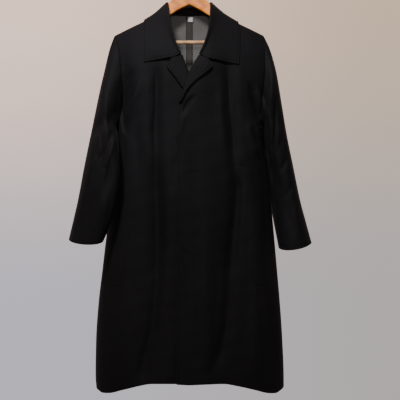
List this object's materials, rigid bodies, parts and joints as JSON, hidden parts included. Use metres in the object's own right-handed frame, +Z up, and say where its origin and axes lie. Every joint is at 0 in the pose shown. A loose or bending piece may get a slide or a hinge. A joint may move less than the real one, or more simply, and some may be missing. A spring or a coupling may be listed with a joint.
{
  "type": "coat on a hanger",
  "caption": "Long dark coat with a turned-down collar, notched lapels and covered front, hung open-necked on a wooden hanger with a trouser bar.",
  "frame": {"origin": "the point under the top of the hook's bend, where the hook bears on whatever it hangs from", "axes": "+Z up, -Y out of the front of the coat, +X towards the wearer's left sleeve"},
  "size_m": [0.703, 0.211, 1.2495],
  "materials": {
    "cloth": "close plain weave, matt",
    "tape": "seam binding, matt",
    "label": "woven, bare",
    "wood": "clear satin varnish",
    "steel": "bright"
  },
  "bodies": {
    "root": {"front_right": "cloth", "front_left": "cloth", "back_right": "cloth", "back_left": "cloth", "sleeve_right": "cloth", "sleeve_left": "cloth", "collar_stand": "cloth", "collar_leaf": "cloth", "lapel_right": "cloth", "lapel_left": "cloth", "pocket_welt_right": "cloth", "pocket_welt_left": "cloth", "back_seam_tape": "tape", "label": "label", "hanger_wood": "wood", "hanger_bar": "wood", "hanger_hook": "steel"}
  },
  "joints": []
}
